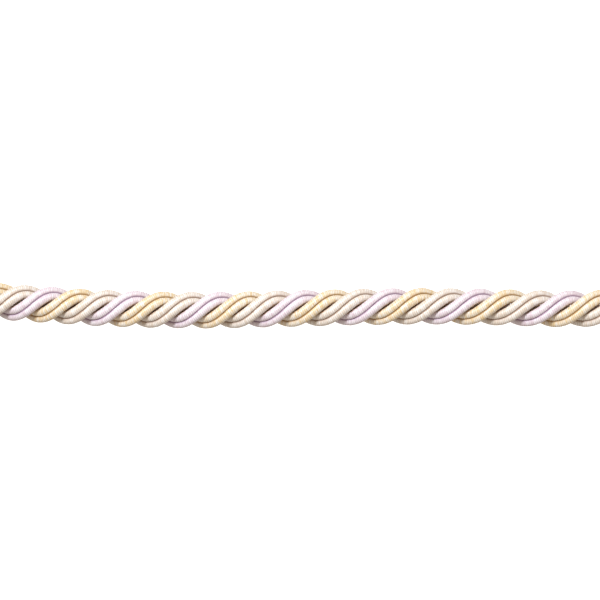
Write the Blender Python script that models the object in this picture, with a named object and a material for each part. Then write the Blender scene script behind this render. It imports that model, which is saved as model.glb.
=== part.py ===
"""Three-strand twisted trim cord, a cut length lying on a flat surface.

Lavender, gold and ivory strands are laid together to the left (S lay). Each strand is a
bundle of three thread-wrapped gimps, so its section has three round lobes, and it twists
on itself by a third of a turn in each lay. Strands are pressed flat where they meet.
Metres, +Z up: the cord runs along X over the origin, with its underside on Z = 0.
"""
import math

import bmesh
import bpy
from mathutils import Vector
from mathutils.kdtree import KDTree

# Lay of the cord
LAYS = 8                      # whole turns of every strand along the length
FIRST_LAY = 0.0209            # length of one turn at the -X end
LAST_LAY = 0.0238             # and at the +X end, where the twist is slacker
STEPS_PER_LAY = 16            # spine points for each turn

# Sizes across the cord
SPINE_RADIUS = 0.00266        # middle of the cord to the middle of a strand
GIMP_RADIUS = 0.00108         # one of the three gimps of a strand
GIMP_RING = 0.00105           # middle of a strand to the middle of a gimp
GIMP_ANGLES = (30, 150, 270)  # where the gimps sit on the top of the cord: two up, one down
GIMP_ROLL = -1 / 3            # turns of a strand on itself for each turn round the cord
LOBE_ANGLES = (-52, -36, -20, 0, 20, 36, 52)   # section points either side of a gimp, degrees
STRAND_GAP = 0.00036          # kept between strands where they press on each other
MIDDLE_HEIGHT = 0.00404       # middle of the cord over the surface that presses it flat
LENGTH = LAYS * (FIRST_LAY + LAST_LAY) / 2

# Mesh and finish
MERGE_DISTANCE = 1e-6         # points closer than this are one
FINE_STEPS = 360              # points in each turn of the lines that strands press against
PRESS_ROUNDS = 3
CREASE_ANGLE = 50             # degrees; the grooves between gimps are shaded sharp
SATIN_ROUGHNESS = 0.45

# How the cord wanders sideways as it lies: position along it and offset, in millimetres
WANDER = (
    # along, offset
    (0, 1.6),
    (12, 0.9),
    (25, 0.0),
    (38, -0.8),
    (51, -1.2),
    (64, -1.4),
    (77, -1.2),
    (90, -0.9),
    (103, -0.6),
    (116, -0.4),
    (129, -0.4),
    (142, -0.6),
    (155, -1.0),
    (168, -0.9),
    (180, -0.7),
)

# Strands: name, turns from the -X end to the first place where it lies on top, colour
STRANDS = (
    ("strand_lavender", 59 / 60, (0.78, 0.68, 0.76)),
    ("strand_gold", 79 / 60, (0.86, 0.70, 0.40)),
    ("strand_ivory", 99 / 60, (0.88, 0.80, 0.70)),
)


def clear_scene():
    for obj in list(bpy.data.objects):
        bpy.data.objects.remove(obj, do_unlink=True)


def along(turn):
    """Distance from the -X end after a number of turns; the lay lengthens evenly."""
    return FIRST_LAY * turn + (LAST_LAY - FIRST_LAY) * turn * turn / (2 * LAYS)


def wander(distance):
    """Sideways offset of the cord's middle, a smooth curve through the table's rows."""
    rows = [(a / 1000, b / 1000) for a, b in WANDER]
    here = min(max(distance, rows[0][0]), rows[-1][0])
    i = max(k for k in range(len(rows) - 1) if rows[k][0] <= here)
    before = rows[max(i - 1, 0)]
    start = rows[i]
    end = rows[i + 1]
    after = rows[min(i + 2, len(rows) - 1)]
    span = end[0] - start[0]
    f = (here - start[0]) / span
    slope_in = (end[1] - before[1]) / (end[0] - before[0]) * span
    slope_out = (after[1] - start[1]) / (after[0] - start[0]) * span
    return (
        start[1] * (2 * f**3 - 3 * f**2 + 1)
        + slope_in * (f**3 - 2 * f**2 + f)
        + end[1] * (3 * f**2 - 2 * f**3)
        + slope_out * (f**3 - f**2)
    )


def spine_point(turn, top_turn):
    """Middle of a strand after some turns; the strands climb to the left (S lay)."""
    angle = 2 * math.pi * (turn - top_turn)
    distance = along(turn)
    return Vector((
        distance - LENGTH / 2,
        wander(distance) + SPINE_RADIUS * math.sin(angle),
        MIDDLE_HEIGHT + SPINE_RADIUS * math.cos(angle),
    ))


def section_points():
    """Outline of one strand: the outer sides of three round gimps."""
    points = []
    for gimp in GIMP_ANGLES:
        for off in LOBE_ANGLES:
            a = math.radians(off)
            half_chord = math.sqrt(GIMP_RADIUS**2 - (GIMP_RING * math.sin(a)) ** 2)
            reach = GIMP_RING * math.cos(a) + half_chord
            way = math.radians(gimp + off)
            points.append((reach * math.cos(way), reach * math.sin(way)))
    return points


def poly_curve(name, points, tilts, cyclic):
    curve = bpy.data.curves.new(name, "CURVE")
    curve.dimensions = "2D" if cyclic else "3D"
    spline = curve.splines.new("POLY")
    spline.points.add(len(points) - 1)
    for slot, point, tilt in zip(spline.points, points, tilts):
        slot.co = (*point, 1.0)
        slot.tilt = tilt
    spline.use_cyclic_u = cyclic
    return bpy.data.objects.new(name, curve)


def make_material(name, colour):
    material = bpy.data.materials.new(name)
    material.use_nodes = True
    shader = material.node_tree.nodes["Principled BSDF"]
    shader.inputs["Base Color"].default_value = (*colour, 1.0)
    shader.inputs["Roughness"].default_value = SATIN_ROUGHNESS
    shader.inputs["Metallic"].default_value = 0.0
    return material


def sweep_section(name, top_turn, section, helpers):
    """Sweep the lobed section along a strand's spine, past both ends. Two of its steps lie
    evenly about each place where the strand rests on the surface."""
    first = (STEPS_PER_LAY * (top_turn + 0.5) + 0.5) % 1 - 2
    turns = [(first + k) / STEPS_PER_LAY for k in range(LAYS * STEPS_PER_LAY + 4)]
    spine = [spine_point(turn, top_turn) for turn in turns]
    rolls = [2 * math.pi * GIMP_ROLL * (turn - top_turn) for turn in turns]
    path = poly_curve(name + "_spine", spine, rolls, False)
    helpers.objects.link(path)
    path.data.twist_mode = "Z_UP"
    path.data.bevel_mode = "OBJECT"
    path.data.bevel_object = section
    path.data.use_fill_caps = True
    bpy.context.view_layer.update()
    evaluated = path.evaluated_get(bpy.context.evaluated_depsgraph_get())
    mesh = bpy.data.meshes.new_from_object(evaluated)
    mesh.name = name
    bpy.data.objects.remove(path, do_unlink=True)
    return mesh


def fine_line(top_turn):
    """Close points along a strand's middle, ready to be searched."""
    count = (LAYS + 1) * FINE_STEPS
    tree = KDTree(count)
    for i in range(count):
        tree.insert(spine_point(i / FINE_STEPS - 0.5, top_turn), i)
    tree.balance()
    return tree


def press_flat(mesh, top_turn):
    """Move points that reach past the middle between two strands back to their own side."""
    own = fine_line(top_turn)
    others = [fine_line(top_turn + side / 3) for side in (-1, 1)]
    for vertex in mesh.vertices:
        for _ in range(PRESS_ROUNDS):
            for other in others:
                near, _, near_distance = own.find(vertex.co)
                far, _, far_distance = other.find(vertex.co)
                lack = STRAND_GAP - (far_distance - near_distance)
                if lack > 0:
                    push = (vertex.co - far).normalized() - (vertex.co - near).normalized()
                    vertex.co += push * (lack / push.length_squared)


def trim_and_rest(mesh):
    """Cut both ends square to X and press the lowest gimps flat on the surface."""
    bm = bmesh.new()
    bm.from_mesh(mesh)
    bmesh.ops.remove_doubles(bm, verts=bm.verts, dist=MERGE_DISTANCE)
    for end in (-1, 1):
        bmesh.ops.bisect_plane(
            bm,
            geom=bm.verts[:] + bm.edges[:] + bm.faces[:],
            dist=MERGE_DISTANCE,
            plane_co=(end * LENGTH / 2, 0, 0),
            plane_no=(end, 0, 0),
            clear_outer=True,
        )
        rim = [edge for edge in bm.edges if edge.is_boundary]
        bmesh.ops.contextual_create(bm, geom=rim)
    for vertex in bm.verts:
        vertex.co.z = max(vertex.co.z, 0.0)
    bmesh.ops.recalc_face_normals(bm, faces=bm.faces)
    bm.to_mesh(mesh)
    bm.free()


def add_strand(name, top_turn, colour, section, parts, helpers):
    mesh = sweep_section(name, top_turn, section, helpers)
    press_flat(mesh, top_turn)
    trim_and_rest(mesh)
    mesh.materials.clear()
    mesh.materials.append(make_material(name, colour))
    mesh.shade_smooth()
    mesh.set_sharp_from_angle(angle=math.radians(CREASE_ANGLE))
    strand = bpy.data.objects.new(name, mesh)
    parts.objects.link(strand)


def build():
    clear_scene()
    parts = bpy.data.collections.new("trim_cord")
    helpers = bpy.data.collections.new("guides")
    bpy.context.scene.collection.children.link(parts)
    bpy.context.scene.collection.children.link(helpers)
    outline = [(y, z, 0.0) for y, z in section_points()]
    section = poly_curve("strand_section", outline, [0.0] * len(outline), True)
    section.hide_render = True
    section.display_type = "WIRE"
    helpers.objects.link(section)
    for name, top_turn, colour in STRANDS:
        add_strand(name, top_turn, colour, section, parts, helpers)


build()
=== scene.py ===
"""Looks of the twisted trim cord: three strands of thread-wrapped gimps in satin thread."""

import math

import bmesh
import bpy
import numpy as np
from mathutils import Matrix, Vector
from mathutils.kdtree import KDTree


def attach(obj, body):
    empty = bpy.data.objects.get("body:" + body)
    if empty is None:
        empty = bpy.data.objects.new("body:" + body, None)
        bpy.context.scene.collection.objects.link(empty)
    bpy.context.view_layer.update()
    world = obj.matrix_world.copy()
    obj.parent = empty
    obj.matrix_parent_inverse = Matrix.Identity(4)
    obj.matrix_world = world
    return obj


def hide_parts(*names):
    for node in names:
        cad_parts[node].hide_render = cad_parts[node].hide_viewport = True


# The cord's own sizes, the same as its solids have
LAYS = 8
FIRST_LAY = 0.0209
LAST_LAY = 0.0238
LENGTH = LAYS * (FIRST_LAY + LAST_LAY) / 2
SPINE_RADIUS = 0.00266
MIDDLE_HEIGHT = 0.00404
WANDER = (
    # along, offset, in millimetres
    (0, 1.6),
    (12, 0.9),
    (25, 0.0),
    (38, -0.8),
    (51, -1.2),
    (64, -1.4),
    (77, -1.2),
    (90, -0.9),
    (103, -0.6),
    (116, -0.4),
    (129, -0.4),
    (142, -0.6),
    (155, -1.0),
    (168, -0.9),
    (180, -0.7),
)

# The gimps and the thread wrapped round them
GIMP_ANGLES = (30, 150, 270)   # round a strand's middle where the strand is on top
GIMP_ROLL = -1 / 3             # turns of a strand on itself for each turn round the cord
GIMP_RADIUS = 0.00112          # to the crowns of the wrapped thread
GIMP_RING = 0.00105            # middle of a strand to the middle of a gimp
STRAND_GAP = 0.00003           # left between neighbouring strands
PRESS_REACH = 0.0021           # farther than this from a line, nothing is pressed by it
GIMP_GAP = 0.00001             # and between the gimps of a strand
THREAD_PITCH = 0.0005          # one thread beside the next
THREAD_RELIEF = 0.00006        # crown of a thread over the valley beside it
THREAD_STARTS = 2              # threads wound side by side, which sets their slant
THREAD_ROWS = 4                # rings of points for each thread
SIDES = 16                     # points round a gimp
FINE_STEP = 0.00004            # spacing of the worked-out centre lines
LINE_STEPS = 240               # points in a turn of the lines that bodies press against
OVERRUN = 0.25                 # turns past each end before the square cut
LIFT = 0.00001                 # lowest points above the floor
LAY_PATH = 0.0285              # no less than the length of a strand in one turn
CUT_TOLERANCE = 1e-6           # points nearer to the cut than this are on it
RIM_TOLERANCE = 1e-5
THREAD_VARIATION = 0.25        # how unevenly threads stand out, as a share of their relief
SWELL = 0.02                   # slow change in a gimp's thickness
SWELL_ROWS = 60                # rings from one swelling to the next

# Yarn: all lengths in a material are in millimetres
CREASE_SHADE_TINT = (0.78, 0.57, 0.38)   # painted shade: what the yarn's colour is multiplied by beside a crease, darker and warmer
VALLEY_SHADE = 0.6                # share of the painted groove shade in the valleys between threads
SHEEN_LEVEL = 1.0
SHEEN_STRETCH = 0.85
SHEEN_TURN = 0.25                 # of a full turn, which puts the glint along the gimp
FIBRE_ROUGHNESS = (0.34, 0.5)

# View and light
VIEW_WIDTH = 0.15625
VIEW_DISTANCE = 0.6
VIEW_CENTRE = (0.00086, 0.00125)
SENSOR_WIDTH = 36.0
KEY_PLACE = (-0.2, 0.5, 0.82)
KEY_SIZE = (0.2, 0.2)
KEY_POWER = 10
KEY_COLOUR = (0.97, 1.0, 1.05)
SURROUND_COLOUR = (1, 0.9, 0.81, 1)
SURROUND_STRENGTH = 0.52


def unit(vectors):
    return vectors / np.linalg.norm(vectors, axis=-1, keepdims=True)


def along(turn):
    """Distance from the -X end after a number of turns; the lay lengthens evenly."""
    return FIRST_LAY * turn + (LAST_LAY - FIRST_LAY) * turn * turn / (2 * LAYS)


def wander(distance):
    """Sideways offset of the cord's middle, a smooth curve through the table's rows."""
    rows = np.array(WANDER) / 1000
    x, y = rows[:, 0], rows[:, 1]
    here = np.clip(distance, x[0], x[-1])
    i = np.clip(np.searchsorted(x, here, side="right") - 1, 0, len(x) - 2)
    before = np.maximum(i - 1, 0)
    after = np.minimum(i + 2, len(x) - 1)
    span = x[i + 1] - x[i]
    f = (here - x[i]) / span
    slope_in = (y[i + 1] - y[before]) / (x[i + 1] - x[before]) * span
    slope_out = (y[after] - y[i]) / (x[after] - x[i]) * span
    return (
        y[i] * (2 * f**3 - 3 * f**2 + 1)
        + slope_in * (f**3 - 2 * f**2 + f)
        + y[i + 1] * (3 * f**2 - 2 * f**3)
        + slope_out * (f**3 - f**2)
    )


def spine(turn, top_turn):
    """Middle of a strand; the strands climb to the left (S lay)."""
    angle = 2 * math.pi * (turn - top_turn)
    distance = along(turn)
    return np.stack([
        distance - LENGTH / 2,
        wander(distance) + SPINE_RADIUS * np.sin(angle),
        MIDDLE_HEIGHT + SPINE_RADIUS * np.cos(angle),
    ], axis=-1)


def upright_frames(points):
    """Tangent, side (towards +Y) and up vectors along a line of points."""
    tangent = unit(np.gradient(points, axis=0))
    up = np.array([0.0, 0.0, 1.0]) - tangent[:, 2:3] * tangent
    up = unit(up)
    side = np.cross(up, tangent)
    return tangent, side, up


def smooth_noise(rng, count, step, length):
    """Even random wander of unit size, one value every `step` samples, joined smoothly."""
    knots = rng.standard_normal(length // step + 4)
    at = np.arange(count) / step
    i = at.astype(int)
    f = at - i
    f = f * f * (3 - 2 * f)
    return knots[i] * (1 - f) + knots[i + 1] * f


def gimp_centre(turn, top_turn, gimp_angle):
    """Middle of a gimp; the gimps of a strand roll slowly about its middle."""
    middle = spine(turn, top_turn)
    _, side, up = upright_frames(middle)
    round_cord = 2 * math.pi * (turn - top_turn)
    a = (math.radians(gimp_angle) + GIMP_ROLL * round_cord)[:, None]
    return middle + GIMP_RING * (np.cos(a) * side + np.sin(a) * up)


def with_tree(line):
    """A line of points with a tree in which the nearest of them is found."""
    tree = KDTree(len(line))
    for i, q in enumerate(line):
        tree.insert(q, i)
    tree.balance()
    return line, tree


def nearest(points, line_and_tree):
    """Distance from each point to a fine line of points, and the unit vector away from it."""
    line, tree = line_and_tree
    found = np.array([tree.find(p)[1] for p in points])
    away = points - line[found]
    distance = np.linalg.norm(away, axis=1)
    return distance, away / distance[:, None]


def press(points, own, others, gap):
    """Flatten a gimp where it meets its neighbours: no point lies nearer to a
    neighbour's line than to its own. Returns also how far each point is from doing so."""
    points = points.copy()
    clear = np.full(len(points), PRESS_REACH)
    own = with_tree(own)
    for other in others:
        beside = np.stack([np.interp(points[:, 0], other[:, 0], other[:, c]) for c in (1, 2)], -1)
        close = np.linalg.norm(points[:, 1:] - beside, axis=1) < PRESS_REACH
        if not close.any():
            continue
        other = with_tree(other)
        for _ in range(2):
            part = points[close]
            d0, u0 = nearest(part, own)
            d1, u1 = nearest(part, other)
            push = u1 - u0
            size = np.maximum((push**2).sum(1), 0.05)
            lack = np.maximum(gap - (d1 - d0), 0.0)
            points[close] += (lack / size)[:, None] * push
        clear[close] = np.minimum(clear[close], d1 - d0)
    return points, clear


def gimp_line(top_turn, gimp_angle):
    """Fine centre line of one gimp, with its frames and the length along it."""
    count = int((LAYS + 2 * OVERRUN) * LAY_PATH / FINE_STEP)
    turn = np.linspace(-OVERRUN, LAYS + OVERRUN, count)
    centre = gimp_centre(turn, top_turn, gimp_angle)
    tangent, side, up = upright_frames(centre)
    steps = np.linalg.norm(np.diff(centre, axis=0), axis=1)
    length = np.concatenate([[0.0], np.cumsum(steps)])
    return centre, side, up, length


def press_gimp(points, top_turn, gimp_angle):
    """Press a gimp against the others of its strand, then against those of the others."""
    turn = np.linspace(-2 * OVERRUN, LAYS + 2 * OVERRUN, int((LAYS + 4 * OVERRUN) * LINE_STEPS))
    own = gimp_centre(turn, top_turn, gimp_angle)
    others = [gimp_centre(turn, top_turn, a) for a in GIMP_ANGLES if a != gimp_angle]
    points, groove = press(points, own, others, GIMP_GAP)
    others = [
        gimp_centre(turn, top_turn + third / 3, a) for third in (-1, 1) for a in GIMP_ANGLES
    ]
    points, crease = press(points, own, others, STRAND_GAP)
    return points, np.stack([groove, crease], -1)


def gimp_mesh(top_turn, gimp_angle, seed):
    """One gimp: a core whose surface is raised into the thread wound round it."""
    rng = np.random.default_rng(seed)
    centre, side, up, length = gimp_line(top_turn, gimp_angle)
    step = THREAD_PITCH / THREAD_ROWS
    slant = THREAD_STARTS * THREAD_PITCH / SIDES
    skip = THREAD_STARTS * THREAD_ROWS
    rings = int((length[-1] - 2 * THREAD_STARTS * THREAD_PITCH) / step)
    k = np.arange(rings)
    j = np.arange(SIDES)
    at = THREAD_STARTS * THREAD_PITCH + k[:, None] * step - slant * j[None, :]
    where = [np.interp(at, length, v[:, c]) for v in (centre, side, up) for c in range(3)]
    middle = np.stack(where[0:3], -1)
    across = np.stack(where[3:6], -1)
    upward = np.stack(where[6:9], -1)
    crown = np.abs(np.sin(math.pi * (k % THREAD_ROWS) / THREAD_ROWS)) ** 0.8
    thread = k // THREAD_ROWS
    bold = 1 + THREAD_VARIATION * rng.standard_normal(thread[-1] + 1)[thread]
    swell = 1 + SWELL * smooth_noise(rng, rings, SWELL_ROWS, rings)
    radius = (GIMP_RADIUS - THREAD_RELIEF) * swell + THREAD_RELIEF * crown * bold
    angle = 2 * math.pi * j / SIDES
    points = middle + radius[:, None, None] * (
        np.cos(angle)[None, :, None] * across + np.sin(angle)[None, :, None] * upward
    )
    verts, clear = press_gimp(points.reshape(-1, 3), top_turn, gimp_angle)
    verts[:, 2] = np.maximum(verts[:, 2], LIFT)
    index = k[:, None] * SIDES + j[None, :]
    a = index[:-skip - 1, :]
    b = np.concatenate([index[:, 1:], np.roll(index[:, :1], -skip, axis=0)], axis=1)
    quads = np.stack([a, index[1:-skip, :], b[1:-skip, :], b[:-skip - 1, :]], -1).reshape(-1, 4)
    u0 = np.broadcast_to(j / SIDES, (len(a), SIDES))
    v0 = np.broadcast_to((k[:len(a)] / THREAD_ROWS)[:, None], (len(a), SIDES))
    du, dv = 1 / SIDES, 1 / THREAD_ROWS
    uv = np.stack([
        np.stack([u0, v0], -1),
        np.stack([u0, v0 + dv], -1),
        np.stack([u0 + du, v0 + dv], -1),
        np.stack([u0 + du, v0], -1),
    ], axis=2).reshape(-1, 4, 2)
    return verts, clear, quads, uv


def strand_object(name, top_turn, seed, material, core):
    """One strand: its three gimps in one mesh, cut square at both ends."""
    verts, clears, faces, uvs = [], [], [], []
    shift = 0
    for n, angle in enumerate(GIMP_ANGLES):
        v, clear, q, uv = gimp_mesh(top_turn, angle, seed * 10 + n)
        verts.append(v)
        clears.append(clear * 1000)
        faces.append(q + shift)
        uvs.append(uv)
        shift += len(v)
    verts = np.concatenate(verts)
    faces = np.concatenate(faces)
    uvs = np.concatenate(uvs)
    mesh = bpy.data.meshes.new(name)
    mesh.vertices.add(len(verts))
    mesh.vertices.foreach_set("co", verts.ravel())
    mesh.loops.add(len(faces) * 4)
    mesh.loops.foreach_set("vertex_index", faces.ravel().astype(np.int32))
    mesh.polygons.add(len(faces))
    mesh.polygons.foreach_set("loop_start", np.arange(0, len(faces) * 4, 4, dtype=np.int32))
    mesh.update(calc_edges=True)
    layer = mesh.uv_layers.new(name="wrap")
    layer.data.foreach_set("uv", uvs.reshape(-1, 2).ravel().astype(np.float32))
    clears = np.concatenate(clears)
    for column, attribute in enumerate(("groove_mm", "crease_mm")):
        layer = mesh.attributes.new(attribute, "FLOAT", "POINT")
        layer.data.foreach_set("value", clears[:, column].astype(np.float32))
    mesh.materials.append(material)
    mesh.materials.append(core)
    cut_ends(mesh)
    mesh.shade_smooth()
    obj = bpy.data.objects.new(name, mesh)
    bpy.context.scene.collection.objects.link(obj)
    return obj


def cut_ends(mesh):
    """Cut a strand square at both ends and close each cut gimp with its core."""
    bm = bmesh.new()
    bm.from_mesh(mesh)
    for end in (-1, 1):
        bmesh.ops.bisect_plane(
            bm,
            geom=bm.verts[:] + bm.edges[:] + bm.faces[:],
            dist=CUT_TOLERANCE,
            plane_co=(end * LENGTH / 2, 0, 0),
            plane_no=(end, 0, 0),
            clear_outer=True,
        )
        rim = [
            e for e in bm.edges
            if e.is_boundary
            and all(abs(v.co.x - end * LENGTH / 2) < RIM_TOLERANCE for v in e.verts)
        ]
        made = bmesh.ops.edgeloop_fill(bm, edges=rim)
        for face in made["faces"]:
            face.material_index = 1
            face.smooth = False
    loose = [v for v in bm.verts if not v.link_faces]
    bmesh.ops.delete(bm, geom=loose, context="VERTS")
    bmesh.ops.recalc_face_normals(bm, faces=bm.faces)
    bm.to_mesh(mesh)
    bm.free()


class Nodes:
    """Short way to add and join shader nodes."""

    def __init__(self, material):
        self.tree = material.node_tree

    def add(self, kind, inputs=(), **settings):
        node = self.tree.nodes.new("ShaderNode" + kind)
        for key, value in settings.items():
            setattr(node, key, value)
        for key, value in dict(inputs).items():
            if isinstance(value, bpy.types.NodeSocket):
                self.tree.links.new(value, node.inputs[key])
            else:
                node.inputs[key].default_value = value
        return node

    def math(self, operation, a, b=0.0, clamp=False):
        return self.add("Math", {0: a, 1: b}, operation=operation, use_clamp=clamp).outputs[0]

    def fit(self, value, low, high, to_low=0.0, to_high=1.0):
        """Value moved from one range to another, kept inside it, with soft ends."""
        return self.add(
            "MapRange",
            {"Value": value, "From Min": low, "From Max": high,
             "To Min": to_low, "To Max": to_high},
            interpolation_type="SMOOTHSTEP",
        ).outputs[0]

    def mix(self, factor, a, b, blend="MIX"):
        node = self.add("Mix", data_type="RGBA", blend_type=blend)
        for key, value in ((0, factor), (6, a), (7, b)):
            if isinstance(value, bpy.types.NodeSocket):
                self.tree.links.new(value, node.inputs[key])
            else:
                node.inputs[key].default_value = value
        return node.outputs[2]


def new_material(name):
    material = bpy.data.materials.new(name)
    material.use_nodes = True
    return material


def yarn_material(name, thread, pale, groove, crease_shade):
    """Satin thread wound round a core. Each thread has its own tone; shade is painted into
    the valleys between threads, the grooves between gimps and the creases between strands."""
    material = new_material(name)
    n = Nodes(material)
    shader = material.node_tree.nodes["Principled BSDF"]
    uv = n.add("UVMap", uv_map="wrap").outputs[0]
    split = n.add("SeparateXYZ", {0: uv})
    turn = n.math("MULTIPLY", split.outputs[0], 2 * math.pi)
    round_x = n.math("COSINE", turn)
    round_y = n.math("SINE", turn)
    # Fibres: long round the gimp, fine across the thread
    fibre_at = n.add("CombineXYZ", {
        0: n.math("MULTIPLY", round_x, 1.6),
        1: n.math("MULTIPLY", round_y, 1.6),
        2: n.math("MULTIPLY", split.outputs[1], 7.0),
    }).outputs[0]
    fibre = n.add("TexNoise", {
        "Vector": fibre_at, "Scale": 1.0, "Detail": 3.0, "Roughness": 0.6,
    }).outputs[0]
    # Tone of each thread
    tone_at = n.add("CombineXYZ", {
        0: n.math("MULTIPLY", round_x, 0.5),
        1: n.math("MULTIPLY", round_y, 0.5),
        2: n.math("MULTIPLY", split.outputs[1], 0.9),
    }).outputs[0]
    tone = n.add("TexNoise", {
        "Vector": tone_at, "Scale": 1.0, "Detail": 2.0, "Roughness": 0.7,
    }).outputs[0]
    tone = n.fit(tone, 0.32, 0.68)
    colour = n.mix(tone, (*thread, 1), (*pale, 1))
    # Painted shade: the valleys between threads take part of the groove colour
    row = n.math("FRACT", split.outputs[1])
    valley = n.math("ABSOLUTE", n.math("SUBTRACT", row, 0.5))
    valley = n.fit(valley, 0.25, 0.5)
    shade = n.mix(n.math("MULTIPLY", valley, VALLEY_SHADE), colour, (*groove, 1))
    # Painted shade in the grooves between gimps, then in the creases between strands
    apart = n.add(
        "Attribute", attribute_name="groove_mm", attribute_type="GEOMETRY"
    ).outputs["Fac"]
    # Painted shade: the colour turns to the groove colour where the gimps of a strand meet
    shade = n.mix(n.fit(apart, 0.6, 0.05), shade, (*groove, 1))
    apart = n.add(
        "Attribute", attribute_name="crease_mm", attribute_type="GEOMETRY"
    ).outputs["Fac"]
    # Painted shade: the colour turns darker and warmer towards a crease between strands
    shade = n.mix(n.fit(apart, 1.2, 0.35), shade, (*CREASE_SHADE_TINT, 1), "MULTIPLY")
    # Painted shade: dark brown in the deepest part of a crease
    shade = n.mix(n.fit(apart, 0.5, 0.05), shade, (*crease_shade, 1))
    streak = n.fit(fibre, 0.3, 0.7, 0.93, 1.05)
    grey = n.add("CombineColor", {0: streak, 1: streak, 2: streak}).outputs[0]
    shade = n.mix(1.0, shade, grey, "MULTIPLY")
    material.node_tree.links.new(shade, shader.inputs["Base Color"])
    bump = n.add("Bump", {"Strength": 0.35, "Distance": 0.00005, "Height": fibre}).outputs[0]
    material.node_tree.links.new(bump, shader.inputs["Normal"])
    rough = n.fit(fibre, 0.3, 0.7, *FIBRE_ROUGHNESS)
    material.node_tree.links.new(rough, shader.inputs["Roughness"])
    # Satin: each thread runs round the gimp and glints along the gimp's length
    shader.inputs["Specular IOR Level"].default_value = SHEEN_LEVEL
    shader.inputs["Anisotropic"].default_value = SHEEN_STRETCH
    shader.inputs["Anisotropic Rotation"].default_value = SHEEN_TURN
    tangent = n.add("Tangent", direction_type="UV_MAP", uv_map="wrap").outputs[0]
    material.node_tree.links.new(tangent, shader.inputs["Tangent"])
    return material


def core_material():
    """Cut cotton core: pale, matt and fibrous."""
    material = new_material("cut_core")
    n = Nodes(material)
    shader = material.node_tree.nodes["Principled BSDF"]
    place = n.add("TexCoord").outputs["Object"]
    grain = n.add("TexVoronoi", {"Vector": place, "Scale": 6000.0}).outputs["Distance"]
    speck = n.add("TexNoise", {"Vector": place, "Scale": 2500.0, "Detail": 4.0}).outputs[0]
    colour = n.mix(speck, (0.62, 0.55, 0.46, 1), (0.86, 0.82, 0.75, 1))
    material.node_tree.links.new(colour, shader.inputs["Base Color"])
    bump = n.add("Bump", {"Strength": 0.8, "Distance": 0.0001, "Height": grain}).outputs[0]
    material.node_tree.links.new(bump, shader.inputs["Normal"])
    shader.inputs["Roughness"].default_value = 0.9
    return material


def add_floor():
    """Plain white surface, pure white in the view as in the photograph."""
    bpy.ops.mesh.primitive_plane_add(size=6.0, location=(0, 0, 0))
    floor = bpy.context.object
    floor.name = "floor"
    material = new_material("floor_white")
    shader = material.node_tree.nodes["Principled BSDF"]
    shader.inputs["Base Color"].default_value = (0.9, 0.9, 0.9, 1)
    shader.inputs["Roughness"].default_value = 0.9
    shader.inputs["Specular IOR Level"].default_value = 0.1
    shader.inputs["Emission Color"].default_value = (1, 1, 1, 1)
    shader.inputs["Emission Strength"].default_value = 1.0
    floor.visible_diffuse = False
    floor.visible_glossy = False
    floor.data.materials.append(material)


def add_camera():
    """Straight above the cord; the photograph's middle falls a little off the cord's."""
    data = bpy.data.cameras.new("camera")
    camera = bpy.data.objects.new("camera", data)
    bpy.context.scene.collection.objects.link(camera)
    data.sensor_width = SENSOR_WIDTH
    data.lens = SENSOR_WIDTH * VIEW_DISTANCE / VIEW_WIDTH
    data.clip_start = 0.01
    data.clip_end = 20.0
    camera.location = (*VIEW_CENTRE, MIDDLE_HEIGHT + VIEW_DISTANCE)
    bpy.context.scene.camera = camera


def add_light():
    """One key light from above the far side, and an even warm surround."""
    data = bpy.data.lights.new("key", "AREA")
    data.shape = "RECTANGLE"
    data.size, data.size_y = KEY_SIZE
    data.energy = KEY_POWER
    data.color = KEY_COLOUR
    light = bpy.data.objects.new("key", data)
    light.location = KEY_PLACE
    bpy.context.scene.collection.objects.link(light)
    light.rotation_mode = "QUATERNION"
    light.rotation_quaternion = (-Vector(KEY_PLACE)).to_track_quat("-Z", "Y")
    world = bpy.data.worlds.new("world")
    bpy.context.scene.world = world
    world.use_nodes = True
    back = world.node_tree.nodes["Background"]
    back.inputs["Color"].default_value = SURROUND_COLOUR
    back.inputs["Strength"].default_value = SURROUND_STRENGTH


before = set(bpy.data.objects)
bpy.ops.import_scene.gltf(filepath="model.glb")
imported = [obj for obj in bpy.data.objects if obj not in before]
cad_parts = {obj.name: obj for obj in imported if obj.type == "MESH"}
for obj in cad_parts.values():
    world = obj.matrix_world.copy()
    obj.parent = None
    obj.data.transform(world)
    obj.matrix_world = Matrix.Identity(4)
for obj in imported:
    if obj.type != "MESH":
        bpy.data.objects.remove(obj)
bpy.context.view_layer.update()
add_camera()
bpy.context.scene.view_settings.view_transform = "Standard"

STRANDS = (
    # piece, solid, slot, first turn on top, thread, pale, painted groove shade, painted crease
    # shade
    ("yarn_lavender", "strand_lavender", "lavender_yarn", 59 / 60,
     (0.74, 0.62, 0.66), (0.88, 0.84, 0.87), (0.46, 0.33, 0.43), (0.48, 0.27, 0.24)),
    ("yarn_gold", "strand_gold", "gold_yarn", 79 / 60,
     (0.80, 0.62, 0.35), (0.88, 0.85, 0.77), (0.50, 0.31, 0.13), (0.44, 0.19, 0.07)),
    ("yarn_ivory", "strand_ivory", "ivory_yarn", 99 / 60,
     (0.75, 0.65, 0.54), (0.88, 0.85, 0.80), (0.46, 0.33, 0.25), (0.52, 0.29, 0.20)),
)

core = core_material()
for number, (name, node, slot, top_turn, thread, pale, groove, crease_shade) in enumerate(STRANDS):
    material = yarn_material(name, thread, pale, groove, crease_shade)
    strand = strand_object(name, top_turn, number + 1, material, core)
    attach(strand, "root")
    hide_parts(node)

add_floor()
add_light()
